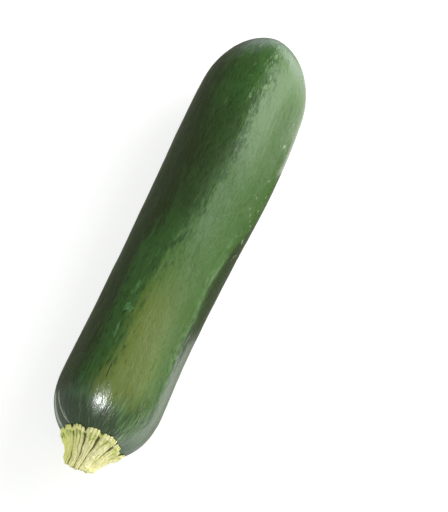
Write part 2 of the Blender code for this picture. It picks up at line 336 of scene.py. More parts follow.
def keep_on_points(mesh, name, values, poles):
    """Keeps a number or a vector for each point of a mesh and its two poles, for its material to read."""
    is_vector = np.ndim(poles) == 2
    kept = mesh.attributes.new(name, "FLOAT_VECTOR" if is_vector else "FLOAT", "POINT")
    every = np.concatenate([values.ravel(), np.ravel(poles)]).astype(np.float32)
    kept.data.foreach_set("vector" if is_vector else "value", every)


def add_piece(name, mesh, finish, node):
    """A piece of the zucchini that stands for one of its solids."""
    mesh.materials.append(finish)
    piece = bpy.data.objects.new(name, mesh)
    bpy.context.scene.collection.objects.link(piece)
    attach(piece, "root")
    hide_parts(node)


def add_skin(finish):
    """The fruit's skin; returns how far the solids' frame is from the fruit's own one."""
    radii, stations = skin_outline()
    steps = np.hypot(np.diff(radii), np.diff(stations))
    along = np.concatenate([[0.0], np.cumsum(steps)])
    angles = 2 * math.pi * np.arange(SKIN_SIDES) / SKIN_SIDES
    inner = slice(1, -1)
    station, angle = np.meshgrid(stations[inner], angles, indexing="ij")
    radius = np.broadcast_to(radii[inner][:, None], angle.shape)
    arc = np.broadcast_to(along[inner][:, None], angle.shape)
    fade = np.clip(radius / GIRTH[0][1], 0, 1) ** LUMP_FADE
    rise = ridge_rise(station, radius, angle)
    plain = laid_down(station, radius + rise, angle)
    fine_rise = lumps(angle, arc, fade) + right_ridge(station, radius, angle)
    points = laid_down(station, radius + rise + fine_rise, angle)
    points[..., 2] = np.maximum(points[..., 2], BELLY_CLEARANCE)
    low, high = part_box("fruit")
    aside = (low.y + high.y - plain[..., 1].min() - plain[..., 1].max()) / 2
    shift = np.array([low.x + FRUIT_LENGTH / 2, aside, 0.0])
    ends = laid_down(stations[[0, -1]], np.zeros(2), np.zeros(2))
    mesh = grid_mesh("skin", points + shift, ends + shift, along[inner] / along[-1])
    grain = round_place(GIRTH[0][1], angle, arc)
    keep_on_points(mesh, "grain", grain, [[0, 0, 0], [0, 0, along[-1]]])
    keep_on_points(mesh, "station", station, stations[[0, -1]])
    keep_on_points(mesh, "radius", radius, [0, 0])
    add_piece("zucchini_skin", mesh, finish, "fruit")
    return shift


def wander(draw, waves, size):
    """A smooth closed curve round the stem, as a function of the angle."""
    parts = [(k, draw.uniform(-1, 1) * size, draw.uniform(0, 2 * math.pi)) for k in waves]

    def at(angle):
        return sum(height * np.sin(k * angle + phase) for k, height, phase in parts)

    return at


def lobe_place(angle):
    """Which lobe lies at each angle, counted from the first, and as a fraction how far across it."""
    starts = np.radians([start for start, _ in LOBES])
    turn = (angle - starts[0]) % (2 * math.pi) + starts[0]
    return np.interp(turn, [*starts, starts[0] + 2 * math.pi], range(len(LOBES) + 1))


def rib_wave(place):
    """1 along the crests of ribs one apart and -1 in the narrow grooves between them."""
    return 2 * np.abs(np.sin(math.pi * place)) ** RIB_ROUNDNESS - 1


def frill(angle, draw):
    """The stem's ragged edge: its radius at each angle, and 1 on lobes and on knuckles or 0 between them."""
    place = lobe_place(angle)
    lobe_number = np.floor(place).astype(int)
    across = place - lobe_number - 0.5
    reach = np.array([reach for _, reach in LOBES]) * MM
    own = reach[lobe_number % len(LOBES)]
    neighbour = reach[np.where(across > 0, lobe_number + 1, lobe_number - 1) % len(LOBES)]
    notch = np.minimum(own, neighbour) - NOTCH_DEPTH
    lobe = (1 - np.abs(2 * across) ** LOBE_SQUARENESS) ** LOBE_ROUNDNESS
    tips = np.array([draw.uniform(-1, 1) for _ in range(KNUCKLES)]) * KNUCKLE_SPREAD
    tip = angle / (2 * math.pi) * KNUCKLES
    knuckle = np.abs(np.cos(math.pi * (tip - np.round(tip)))) ** KNUCKLE_ROUNDNESS
    uneven = tips[np.round(tip).astype(int) % KNUCKLES]
    edge = notch + (own - notch) * lobe + (KNUCKLE_REACH * (knuckle - 1) + uneven * knuckle) * lobe
    return edge, lobe, knuckle


def bezier(t, handles):
    """Points on a cubic curve."""
    weights = ((1 - t) ** 3, 3 * t * (1 - t) ** 2, 3 * t**2 * (1 - t), t**3)
    return sum(weight * handle for weight, handle in zip(weights, handles))


def stem_relief(t, radius, station, angles, turn, knuckle):
    """How far ribs, strands and lumps lift one ring of the stem's side, and how much of a crest it is."""
    rib = lobe_place(turn)
    ribs = rib_wave(rib)
    across = round_place(NECK_RADIUS / STRAND_WIDTH, turn, station / STRAND_RUN + DRIFT_PLACE)
    strands = rib_wave(STRANDS_PER_RIB * rib + STRAND_DRIFT * noise_at(across))
    strength = STRAND_STRENGTH + STRENGTH_SPREAD * noise_at(across * STRENGTH_GRAIN + STRENGTH_PLACE)
    rise = min(1.0, RIB_FOOT + t / RIB_START) * RIB_HEIGHT * ribs
    rise = rise + STRAND_HEIGHT * strands * strength * min(1.0, STRAND_FOOT + t / STRAND_START)
    groove = np.exp(-(((rib - np.round(rib)) / GROOVE_WIDTH) ** 2))
    depth = GROOVE_DEPTH + GROOVE_SPREAD * noise_at(across * GROOVE_GRAIN + GROOVE_PLACE)
    depth = np.clip(depth, *GROOVE_LIMITS)
    crest = CREST + CREST_STRAND * (strands - 0.5) * strength - CREST_GROOVE * groove * depth
    place = round_place(radius, angles, station)
    for size, height in STEM_LUMPS:
        lump = NOISE_GAIN * noise_at(place / size + LUMP_PLACE)
        rise = rise + height * lump * min(1.0, t / LUMP_START) * (LUMP_FOOT + LUMP_GROWTH * t)
        crest = crest + CREST_LUMP * lump
    roll = math.exp(-(((t - ROLL_PLACE) / ROLL_WIDTH) ** 2))
    bulge = math.exp(-(((t - BULGE_PLACE) / BULGE_WIDTH) ** 2))
    rise = rise + LIP_ROLL * roll * knuckle + END_BULGE * bulge
    crest = crest * (1 - roll) + (LIP_CREST + KNUCKLE_CREST * knuckle) * roll
    return rise, crest


def cut_rings(rim_radius, rim_station, angles):
    """The rings of the rough cut, with its pits and its star of pith, from the rim to the middle."""
    rings = []
    for i in range(1, CUT_RINGS):
        share = 1 - i / CUT_RINGS
        radius = rim_radius * share
        place = round_place(radius, angles, CUT_NOISE_HEIGHT)
        rough = sum(noise_at(place / size) * height for size, height in CUT_GRAINS)
        station = rim_station * share + (1 - share) * (-STEM_LENGTH)
        around = np.round(angles / (2 * math.pi) * PITS) * 2 * math.pi / PITS
        away = np.hypot(
            radius * np.cos(angles) - PIT_RING * CUT_RADIUS * np.cos(around),
            radius * np.sin(angles) - PIT_RING * CUT_RADIUS * np.sin(around),
        )
        pit = PIT_DEPTH * np.exp(-((away / PIT_WIDTH) ** 2))
        star = PITH_SHARE * (1 + PITH_STAR * np.cos(PITH_POINTS * angles))
        pith = PITH_DEPTH * (1 - step_up(share - star, PITH_EDGE))
        depth = (rough + pit + pith) * min(1.0, (1 - share) / CUT_START)
        crest = np.clip(CUT_CREST - depth / CUT_CREST_DEPTH, 0, 1)
        rings.append((radius, station + depth, crest, 1.0 + (1 - share)))
    return rings


def stem_rings():
    """The stem as rings: radius, station, crest height and the way: 0 at its edge, 1 to 2 across its cut."""
    draw = random.Random(SEED)
    low_wander = wander(draw, FOOT_WAVES, FOOT_WANDER)
    high_wander = wander(draw, CUT_WAVES, CUT_WANDER)
    angles = 2 * math.pi * np.arange(STEM_SIDES) / STEM_SIDES
    edge, lobe, knuckle = frill(angles + low_wander(angles), draw)
    lip = LIP_THIN + (LIP_THICK - LIP_THIN) * lobe * (LIP_PLAIN + LIP_KNUCKLED * knuckle)

    def seat(radius):
        ridges = ridge_rise(shoulder_station(radius), radius, angles)
        return shoulder_station(radius) - np.maximum(ridges, 0.0)

    longer = math.tan(CUT_SLOPE) * CUT_RADIUS * np.cos(angles - LONG_SIDE_ANGLE)
    rim_lobe = lobe_place(angles + high_wander(angles))
    rib_end = (rib_wave(rim_lobe) + 1) / 2
    rim_reaches = np.array([draw.uniform(-1, 1) * RIM_SPREAD for _ in LOBES])
    rim_reach = rim_reaches[np.floor(rim_lobe).astype(int) % len(LOBES)]
    rim_station = -STEM_LENGTH - longer + RIM_NOTCH * (1 - rib_end) - rim_reach * rib_end
    edge_station = seat(edge)
    rings = []
    for i in range(1, SEAT_RINGS + 1):
        radius = edge * i / SEAT_RINGS
        gap = JOINT_GAP * (1 - (i / SEAT_RINGS) ** 4)
        rings.append((radius, seat(radius) - gap, 0.0, 0.0))
    for i in range(1, LIP_RINGS):
        turn = math.pi / 2 * i / LIP_RINGS
        radius = edge + LIP_OVERHANG * lip * math.cos(turn)
        rings.append((radius, edge_station - lip * math.sin(turn), lobe * knuckle, 0.0))
    inner_station = shoulder_station(NECK_RADIUS) - 2 * JOINT_GAP
    rows = [(i / FLARE_RINGS) ** RING_SPACING for i in range(FLARE_RINGS + 1)]
    belly = NECK_RADIUS + FLARE_BELLY * (edge - NECK_RADIUS)
    radii = np.array([bezier(t, (edge, belly, NECK_RADIUS - NECK_WAIST, CUT_RADIUS)) for t in rows])
    handles = (edge_station - lip, inner_station, WAIST_HEIGHT * rim_station, rim_station)
    stations = np.array([bezier(t, handles) for t in rows])
    outwards, onwards = -np.gradient(stations, axis=0), np.gradient(radii, axis=0)
    length = np.hypot(outwards, onwards)
    for row, t in enumerate(rows):
        radius, station = radii[row], stations[row]
        turn = angles + (1 - t) * low_wander(angles) + t * high_wander(angles)
        rise, crest = stem_relief(t, radius, station, angles, turn, knuckle)
        rise = rise / length[row]
        rings.append((radius + outwards[row] * rise, station + onwards[row] * rise, crest, t))
    rim_radius, rim_station, _, _ = rings[-1]
    return rings + cut_rings(rim_radius, rim_station, angles), angles


def soften_rim(points, first, last):
    """Rounds the corner between the stem's side and its cut."""
    for _ in range(RIM_SMOOTHING):
        middle = points[first:last]
        points[first:last] = 0.5 * middle + 0.25 * (points[first - 1:last - 1] + points[first + 1:last + 1])


def add_stem(finish, shift):
    """The stem with its ribs, its ragged edge on the fruit and its fibrous cut."""
    rings, angles = stem_rings()
    radius, station, crest, way = (
        np.array([np.broadcast_to(row, STEM_SIDES) for row in rows]) for rows in zip(*rings)
    )
    angle = np.broadcast_to(angles, radius.shape)
    points = laid_down(station, radius, angle)
    points[..., 1] += STEM_LEAN * np.maximum(0, -station)
    rim = SEAT_RINGS + LIP_RINGS + FLARE_RINGS - 1
    soften_rim(points, rim - RIM_BELOW, rim + RIM_ABOVE)
    low, high = laid_down(np.array([-JOINT_GAP, -STEM_LENGTH + PITH_DEPTH]), np.zeros(2), np.zeros(2))
    high[1] += STEM_LEAN * STEM_LENGTH
    rows = np.linspace(UV_MARGIN, 1 - UV_MARGIN, len(rings))
    mesh = grid_mesh("stem", points + shift, (low + shift, high + shift), rows)
    mesh.flip_normals()
    keep_on_points(mesh, "crest", crest, [0, 0.2])
    keep_on_points(mesh, "way", way, [0, 2])
    grain = round_place(NECK_RADIUS, angle, -station)
    keep_on_points(mesh, "grain", grain, [[0, 0, 0], [0, 0, STEM_LENGTH]])
    add_piece("zucchini_stem", mesh, finish, "stem")


class Value:
    """A number, colour or vector that a material's nodes work out at each point of a surface."""

    def __init__(self, tree, socket):
        self.tree = tree
        self.socket = socket

    def math(self, operation, *others):
        node = self.tree.nodes.new("ShaderNodeMath")
        node.operation = operation
        for place, value in enumerate((self, *others)):
            connect(value, node.inputs[place])
        return Value(self.tree, node.outputs[0])

    def __add__(self, other):
        return self.math("ADD", other)

    def __sub__(self, other):
        return self.math("SUBTRACT", other)

    def __mul__(self, other):
        return self.math("MULTIPLY", other)

    def __rsub__(self, other):
        return (self * -1.0).math("ADD", other)

    def smooth(self, low, high):
        """0 up to low, 1 from high on, and a smooth rise between; low may also be the larger of the two."""
        node = self.tree.nodes.new("ShaderNodeMapRange")
        node.interpolation_type = "SMOOTHSTEP"
        connect(self, node.inputs["Value"])
        start, end, first, last = (high, low, 1.0, 0.0) if low > high else (low, high, 0.0, 1.0)
        set_inputs(node, {"From Min": start, "From Max": end, "To Min": first, "To Max": last})
        return Value(self.tree, node.outputs["Result"])

    def band(self, start, full, waning, end):
        """0 up to start, 1 from full to waning, 0 from end on, and smooth changes between them."""
        return self.smooth(start, full) * self.smooth(end, waning)

    def swing(self, amount):
        """This noise, which lies round 0.5, as a shift that lies round 0."""
        return (self - 0.5) * amount

    def scaled(self, x, y, z, shift):
        """This vector, stretched by a factor along each axis and then shifted."""
        node = self.tree.nodes.new("ShaderNodeVectorMath")
        node.operation = "MULTIPLY_ADD"
        connect(self, node.inputs[0])
        node.inputs[1].default_value = (x, y, z)
        node.inputs[2].default_value = shift
        return Value(self.tree, node.outputs[0])

    def parts(self):
        node = self.tree.nodes.new("ShaderNodeSeparateXYZ")
        connect(self, node.inputs[0])
        return [Value(self.tree, node.outputs[k]) for k in range(3)]

    def noise(self, detail, roughness, distortion=0.0):
        """Noise with a grain of about 1 in this vector's units, from 0 to 1."""
        node = self.tree.nodes.new("ShaderNodeTexNoise")
        connect(self, node.inputs["Vector"])
        set_inputs(node, {"Scale": 1.0, "Detail": detail, "Roughness": roughness, "Distortion": distortion})
        return Value(self.tree, node.outputs["Fac"])

    def cells(self):
        """The distance to the nearest of scattered points about 1 apart, and a random colour for each."""
        node = self.tree.nodes.new("ShaderNodeTexVoronoi")
        connect(self, node.inputs["Vector"])
        node.inputs["Scale"].default_value = 1.0
        return Value(self.tree, node.outputs["Distance"]), Value(self.tree, node.outputs["Color"])


def connect(value, socket):
    """Feeds a socket with another node's value or with a plain number or colour."""
    if isinstance(value, Value):
        value.tree.links.new(value.socket, socket)
    else:
        socket.default_value = value


def set_inputs(node, values):
    """Sets a node's unlinked inputs by their names."""
    for name, value in values.items():
        node.inputs[name].default_value = value


def attribute(tree, name, vector=False):
    node = tree.nodes.new("ShaderNodeAttribute")
    node.attribute_name = name
    return Value(tree, node.outputs["Vector" if vector else "Fac"])


def mixed(share, first, second):
    """The first colour where share is 0 and the second where it is 1."""
    node = share.tree.nodes.new("ShaderNodeMix")
    node.data_type = "RGBA"
    node.clamp_factor = True
    connect(share, node.inputs[0])
    for value, socket in ((first, node.inputs[6]), (second, node.inputs[7])):
        connect(value if isinstance(value, Value) else (*value, 1.0), socket)
    return Value(share.tree, node.outputs[2])


def bumped(height, distance, under=None):
    """The surface's direction over bumps of this height field, on top of other bumps where there are any."""
    node = height.tree.nodes.new("ShaderNodeBump")
    node.inputs["Distance"].default_value = distance
    connect(height, node.inputs["Height"])
    if under is not None:
        connect(under, node.inputs["Normal"])
    return Value(height.tree, node.outputs["Normal"])


def new_material(name):
    made = bpy.data.materials.new(name)
    made.use_nodes = True
    return made, made.node_tree, made.node_tree.nodes["Principled BSDF"]


# The skin's colours
# Painted shade: the greens of the side away from the light, darkest far from the lit edge, over the skin's
# own dark green
SHADE_GREEN = (0.021, 0.040, 0.009)
DEEP_GREEN = (0.035, 0.110, 0.020)
# Painted light: the lit side's green near the stem and further on, over the skin's own lighter side
LIT_SHOULDER_GREEN = (0.040, 0.104, 0.016)
LIT_GREEN = (0.070, 0.164, 0.024)
OLIVE = (0.130, 0.178, 0.022)
# Painted shade on the right side
RIGHT_SHADE_GREEN = (0.045, 0.110, 0.010)
# The flecks' and strokes' pale colour, also the painted highlight along the right ridge
PALE_FLECK_AND_HIGHLIGHT = (0.150, 0.260, 0.095)
BRIGHT_FLECK = (0.105, 0.290, 0.085)
PALE_STREAK = (0.120, 0.210, 0.055)
# The lit side's pale wax with painted sheen over it, and the sheen's painted brightest part towards the tip
BLOOM_AND_SHEEN = (0.095, 0.190, 0.070)
SHEEN_PEAK = (0.135, 0.240, 0.095)
SCRATCH = (0.012, 0.020, 0.004)
WHITE_LINE = (0.420, 0.450, 0.340)
CORK = (0.230, 0.170, 0.080)

# Where the skin's colours change, by the station in mm and by the side: degrees from the top towards -Y
LIT_EDGE_SHIFT, LIT_EDGE_STATION = 0.23, 62.0
RIGHT_CREST_SIDE = 60.0
# The strip low on the right side is painted shade and dark reflection
STRIP_TURN_STATION, STRIP_TURN = 90.0, 1.05  # from here on the dark strip turns under the fruit
# Lines drawn along the skin: first and last station, side far from the stem, bend near it, half width
SCRATCH_LINE = (23.0, 29.5, -4.2, 0.0, 0.32)
SCRATCH_TAIL = (16.5, 23.5, -6.5, 0.0, 0.22)
RIDGE_CRACK = (50.0, 60.0, 61.5, 0.0, 0.36)
WHITE_LINES = (
    (4.8, 15.0, -72.0, 145.0, 0.48),
    (4.0, 15.0, -73.0, 20.0, 1.60),
    (4.4, 8.0, -62.0, 100.0, 0.28),
    (5.0, 17.0, -83.0, 60.0, 0.30),
)

# The skin's noises: size of their grains round the fruit and along it, and a shift that keeps them apart
CLOUDS = (0.009, 0.032)
MOTTLE = (0.0020, 0.0062, 5.1)
STREAKS = (0.0008, 0.012, 9.7)
FINE_STREAKS = (0.00045, 0.0030, 3.3)
RAGGED = (0.0011, 0.0030, 13.0)
FLECKS = (0.0019, 0.0040, 1.7)
PALE_STROKES = (0.0010, 0.0080, 21.0)
DARK_STROKES = (0.0009, 0.0075, 57.0)
NICKS = (0.0011, 0.0026, 40.0)
PORES = (0.00065, 0.0011, 31.0)
PEBBLES = (0.0023, 0.0030, 27.0)
SKIN_BUMP, PORE_BUMP, COAT_BUMP = 0.00018, 0.00005, 0.00021


def around_and_along(grain, across, lengthwise, shift=0.0):
    """The grain vector with units of this size round the fruit and along it."""
    return grain.scaled(1 / across, 1 / across, 1 / lengthwise, (shift, 0.0, shift))


class Skin:
    """What the skin's looks are worked out from: a point's place on the fruit, its noises and its zones."""

    def __init__(self, tree):
        self.grain = attribute(tree, "grain", vector=True)
        self.station = attribute(tree, "station") * (1 / MM)
        self.radius = attribute(tree, "radius") * (1 / MM)
        x, y, _ = self.grain.parts()
        self.side = (x * -1.0).math("ARCTAN2", y) * math.degrees(1)
        self.clouds = self.noise(CLOUDS, 3.0, 0.55)
        self.mottle = self.noise(MOTTLE, 3.0, 0.6, 0.4)
        self.streaks = self.noise(STREAKS, 3.0, 0.55)
        self.fine = self.noise(FINE_STREAKS, 2.0, 0.5)
        self.ragged = self.noise(RAGGED, 3.0, 0.6, 0.3)
        coarse = (self.mottle - 0.5) + self.ragged.swing(1.4)
        self.texture = coarse + self.streaks.swing(0.9) + self.fine.swing(0.6)
        self.lit_side = self.past_lit_edge()
        self.past_crest = self.past_right_crest()
        # Painted shade and dark reflection in the strip low on the right side
        self.strip_shade = self.painted_shade_strip()
        self.wider = self.station.smooth(120.0, 155.0) * 22.0
        self.beside_edge = self.beside_lit_edge()
        self.stem_shade = self.shade_of_stem()
        self.cluster = self.station.band(40.0, 48.0, 60.0, 70.0)
        # Painted shade on the skin between these stations
        self.shade_band = self.station.band(82.0, 104.0, 138.0, 158.0)
        # Painted shade on the right side, dimming its lit green
        self.right_shade = self.side.smooth(2.0, 54.0) * self.station.band(34.0, 52.0, 148.0, 170.0)

    def noise(self, grain_size, *settings):
        """Noise with grains of this size."""
        return around_and_along(self.grain, *grain_size).noise(*settings)

    def past_lit_edge(self):
        """How many degrees a point lies past the edge of the side lit with painted light, towards the right
        side.
        """
        beyond = (self.station - LIT_EDGE_STATION).math("MAXIMUM", 0.0)
        lit_side = self.side - beyond * LIT_EDGE_SHIFT
        lit_side = lit_side - self.station.band(76.0, 98.0, 126.0, 150.0) * 7.0
        return lit_side - self.station.band(30.0, 38.0, 42.0, 50.0) * 3.0 + 2.0

    def past_right_crest(self):
        """How many degrees a point lies past the narrow ridge on the right side."""
        winding = (self.station * (MM / RIGHT_RIDGE_WAVE)).math("SINE") * math.degrees(RIGHT_RIDGE_SWING)
        return self.side - winding - RIGHT_CREST_SIDE + self.clouds.swing(10.0) + self.mottle.swing(7.0)

    def painted_shade_strip(self):
        """1 in the strip of painted shade and dark reflection low on the right side, which turns under the
        fruit and blurs there.
        """
        station, past_crest = self.station, self.past_crest
        under_side = past_crest - (station - STRIP_TURN_STATION).math("MAXIMUM", 0.0) * STRIP_TURN
        blurred = station.smooth(STRIP_TURN_STATION, 126.0)
        soft_side = under_side + self.clouds.swing(60.0) + self.streaks.swing(60.0)
        strip_shade = under_side.smooth(-3.0, 4.0) * (1.0 - blurred) + soft_side.smooth(-26.0, 26.0) * blurred
        below_crest = station.smooth(54.0, 42.0) * past_crest.smooth(3.0, 14.0)
        greener = below_crest.math("MAXIMUM", station.smooth(46.0, 28.0))
        return strip_shade * (1.0 - greener * self.side.smooth(120.0, 96.0) * 0.4)

    def beside_lit_edge(self):
        """1 in the band just short of the edge of the sunny side."""
        ragged_edge = self.lit_side + self.wider + self.clouds.swing(20.0)
        return ragged_edge.smooth(-26.0, -12.0) * self.lit_side.smooth(4.0, -6.0)

    def shade_of_stem(self):
        """1 where painted shade darkens the skin beside the stem's left side."""
        slanted = self.side + self.station * 2.1 - 55.0 + self.mottle.swing(16.0)
        return slanted.smooth(5.0, -9.0) * self.station.smooth(16.0, 11.0)

    def drawn(self, line):
        """1 on a thin line that runs along the fruit between two stations, and 0 off it; sizes in mm."""
        first, last, far_side, bend, width = line
        middle = self.station.math("POWER", -1.0) * bend + far_side
        away = (self.side - middle) * self.radius * math.radians(1) + self.mottle.swing(0.9)
        ends = self.station.band(first - 0.8, first + 0.8, last - 1.2, last + 1.2)
        return away.math("ABSOLUTE").smooth(width, width * 0.3) * ends


def ground_green(skin):
    """The skin's own greens with painted light on its lit side and painted shade away from it, and fine pale
    streaks.
    """
    station, lit_side, texture = skin.station, skin.lit_side, skin.texture
    clouds, mottle, streaks, ragged = skin.clouds, skin.mottle, skin.streaks, skin.ragged
    # The share of painted light on the lit side; away from it the greens carry painted shade
    painted_lit_share = (lit_side + mottle.swing(30.0) + ragged.swing(40.0) + streaks.swing(45.0)).smooth(-11.0, 6.0)
    painted_lit_share = painted_lit_share * (1.0 - skin.strip_shade) * (1.0 - skin.stem_shade)
    deep = (lit_side + skin.wider + clouds.swing(50.0) + mottle.swing(40.0)).smooth(-50.0, -24.0)
    deep = deep * (1.0 - skin.strip_shade) * (texture + 0.9).smooth(0.2, 1.0)
    deep = deep * (1.0 - skin.shade_band * lit_side.smooth(2.0, -12.0) * 0.55)
    green = mixed(deep * (1.0 - skin.stem_shade * 0.8), SHADE_GREEN, DEEP_GREEN)
    # The lit green, and how much of it shows where painted light falls
    lit_green = mixed(station.smooth(30.0, 12.0), LIT_GREEN, LIT_SHOULDER_GREEN)
    lit_green_share = painted_lit_share * 0.85 + clouds * 0.30 + texture.math("MAXIMUM", -0.20)
    lit_green_share = (lit_green_share + skin.beside_edge * skin.cluster * 0.30).smooth(0.10, 1.50)
    # Painted shade on the right flank between the shoulder and the middle
    shaded_flank = (skin.side + mottle.swing(16.0)).smooth(34.0, 60.0) * station.band(6.0, 20.0, 50.0, 74.0)
    # How far painted shade dims the lit green in that band
    band_shade_share = skin.shade_band * (lit_side.smooth(18.0, -4.0) * 0.22 + 0.20)
    lit_green_share = lit_green_share * (1.0 - shaded_flank * 0.90) * (1.0 - band_shade_share) * (1.0 - skin.right_shade * 0.38)
    green = mixed(lit_green_share, green, lit_green)
    pale_streaks = (streaks * 0.6 + skin.fine * 0.4).smooth(0.48, 0.74)
    pale_streaks = pale_streaks * (station.smooth(70.0, 12.0) * 0.25 + 0.30)
    return mixed(pale_streaks * (painted_lit_share * 0.7 + 0.3), green, PALE_STREAK)


def with_patches(skin, green):
    """Adds the olive patch on the shoulder, the lit side's pale wax with painted sheen, painted shade on the
    right side and a painted highlight along its ridge.
    """
    station, side, lit_side = skin.station, skin.side, skin.lit_side
    clouds, mottle, streaks, ragged = skin.clouds, skin.mottle, skin.streaks, skin.ragged
    left_edge = lit_side + station.smooth(32.0, 24.0) * 9.0 + mottle.swing(30.0) + streaks.swing(30.0)
    right_edge = side + clouds.swing(30.0) + mottle.swing(20.0)
    patch = left_edge.smooth(-8.0, 4.0) * right_edge.smooth(64.0, 18.0)
    patch = patch * (station + mottle.swing(12.0)).smooth(13.0, 19.0)
    patch = patch * (station + mottle.swing(30.0)).smooth(82.0, 50.0)
    patch = patch * (skin.texture + 0.5).smooth(-0.4, 0.4)
    green = mixed(patch * 0.92, green, OLIVE)
    # Painted sheen over the pale wax on the lit side, brightest towards the tip
    bloom_and_sheen = (lit_side + ragged.swing(40.0)).smooth(-6.0, 4.0)
    bloom_and_sheen = bloom_and_sheen * (lit_side + streaks.swing(60.0)).smooth(32.0, 10.0)
    bloom_and_sheen = bloom_and_sheen * station.band(78.0, 96.0, 150.0, 186.0)
    green = mixed(bloom_and_sheen * 0.54, green, BLOOM_AND_SHEEN)
    sheen_peak = bloom_and_sheen * station.band(114.0, 142.0, 162.0, 180.0)
    green = mixed(sheen_peak * 0.75, green, SHEEN_PEAK)
    green = mixed(skin.right_shade * (1.0 - skin.strip_shade) * 0.42, green, RIGHT_SHADE_GREEN)
    # A painted highlight just short of the right ridge
    ridge_highlight = skin.past_crest.band(-8.0, -3.0, -2.0, 1.0) * ragged.smooth(0.38, 0.60)
    ridge_highlight = ridge_highlight * station.band(26.0, 36.0, 80.0, 104.0)
    return mixed(ridge_highlight * 0.45, green, PALE_FLECK_AND_HIGHLIGHT)


def scattered_flecks(skin):
    """How strong the pale flecks are, which lie mostly beside the lit edge, and their colour."""
    station, clouds, cluster = skin.station, skin.clouds, skin.cluster
    distance, chance = around_and_along(skin.grain, *FLECKS).cells()
    chosen, tone, _ = chance.parts()
    uneven = skin.ragged.swing(2.2) + skin.streaks.swing(1.2)
    reach = chosen.smooth(0.2, 1.0) * (cluster * 0.16 + 0.44)
    fleck = (distance + uneven - reach).smooth(0.12, -0.12)
    clustered = cluster.math("MAXIMUM", clouds.smooth(0.42, 0.62) * station.smooth(24.0, 40.0))
    upper = station.smooth(132.0, 150.0) * clouds.smooth(0.34, 0.50)
    strength = skin.beside_edge * (clustered * 0.80 + cluster * 0.20 + upper * 0.80) + 0.05
    colour = mixed(station.smooth(80.0, 110.0), BRIGHT_FLECK, PALE_FLECK_AND_HIGHLIGHT)
    return fleck * tone.smooth(0.1, 0.9) * strength, colour


def with_strokes(skin, green):
    """Adds dark strokes along the fruit near its stem, and pale ones there and at its tip."""
    station, side = skin.station, skin.side
    at_stem = station.smooth(34.0, 8.0) * side.smooth(-90.0, 20.0) * (1.0 - skin.strip_shade)
    dark = skin.noise(DARK_STROKES, 2.0, 0.5).smooth(0.50, 0.62) * at_stem * side.smooth(0.0, 30.0)
    green = mixed(dark * 0.75, green, SHADE_GREEN)
    at_tip = station.smooth(164.0, 174.0) * side.band(-10.0, 6.0, 30.0, 60.0)
    pale = skin.noise(PALE_STROKES, 2.0, 0.5).smooth(0.54, 0.66) * (at_stem + at_tip)
    return mixed(pale * 0.55, green, PALE_FLECK_AND_HIGHLIGHT)


def dark_marks(skin):
    """1 on the dark scratch on the shoulder and on the crack along the right side's ridge."""
    marks = skin.drawn(SCRATCH_LINE).math("MAXIMUM", skin.drawn(SCRATCH_TAIL) * 0.5)
    return marks.math("MAXIMUM", skin.drawn(RIDGE_CRACK))


def pale_marks(skin):
    """1 on the pale lines on the left of the shoulder and on the nicks along the right side."""
    pale = skin.drawn(WHITE_LINES[0])
    for line in WHITE_LINES[1:]:
        pale = pale.math("MAXIMUM", skin.drawn(line))
    nicks = skin.noise(NICKS, 1.0, 0.5).smooth(0.66, 0.74) * skin.side.band(54.0, 62.0, 74.0, 84.0)
    nicks = nicks * skin.station.band(84.0, 96.0, 148.0, 160.0)
    return pale * skin.fine.smooth(0.15, 0.45) + nicks * 0.8


def skin_material():
    """Waxy dark green skin, finely streaked along its length, with pale flecks and an olive patch."""
    made, tree, shader = new_material("zucchini_skin")
    skin = Skin(tree)
    green = with_patches(skin, ground_green(skin))
    fleck, fleck_colour = scattered_flecks(skin)
    green = with_strokes(skin, mixed(fleck, green, fleck_colour))
    dark, pale = dark_marks(skin), pale_marks(skin)
    green = mixed(dark * 0.9, green, SCRATCH)
    green = mixed(pale * 0.95, green, WHITE_LINE)
    corky = (skin.radius + skin.mottle * 2.2).smooth(6.2, 4.6) * skin.station.smooth(150.0, 170.0)
    colour = mixed(corky, green, CORK)
    connect(colour, shader.inputs["Base Color"])

    roughness = skin.clouds * 0.10 + skin.mottle * 0.14 + skin.ragged.swing(0.25) + corky * 0.35 + 0.18
    connect(roughness, shader.inputs["Roughness"])
    set_inputs(shader, {"IOR": 1.45, "Coat Weight": 0.30, "Coat Roughness": 0.12, "Coat IOR": 1.5})

    relief = skin.mottle + skin.ragged * 0.7 + skin.streaks * 0.5 + fleck * 0.5 - dark * 0.7
    under = bumped(relief, SKIN_BUMP)
    pores = skin.noise(PORES, 2.0, 0.6)
    bump = bumped(pores + skin.fine * 0.6 + fleck * 0.5 + pale * 0.7, PORE_BUMP, under)
    pebbles = skin.noise(PEBBLES, 2.0, 0.6)
    coat_bump = bumped(pores * 0.4 + pebbles, COAT_BUMP, under)
    connect(bump, shader.inputs["Normal"])
    connect(coat_bump, shader.inputs["Coat Normal"])
    return made


# The stem's colours
CREAM = (0.950, 0.880, 0.470)
STRAW = (0.960, 0.950, 0.270)
YELLOW_GREEN = (0.620, 0.660, 0.150)
LEAF_GREEN = (0.200, 0.240, 0.040)
BROWN = (0.260, 0.220, 0.080)
GROOVE = (0.150, 0.115, 0.040)
CUT_TAN = (0.420, 0.400, 0.180)

# The stem's noises, as for the skin
BLOTCHES = (0.0016, 0.0040)
FIBRES = (0.00028, 0.0050, 4.0)
SPECKS = (0.0006, 0.0009, 8.0)
FIBRE_BUMP, SPECK_BUMP = 0.00018, 0.00010


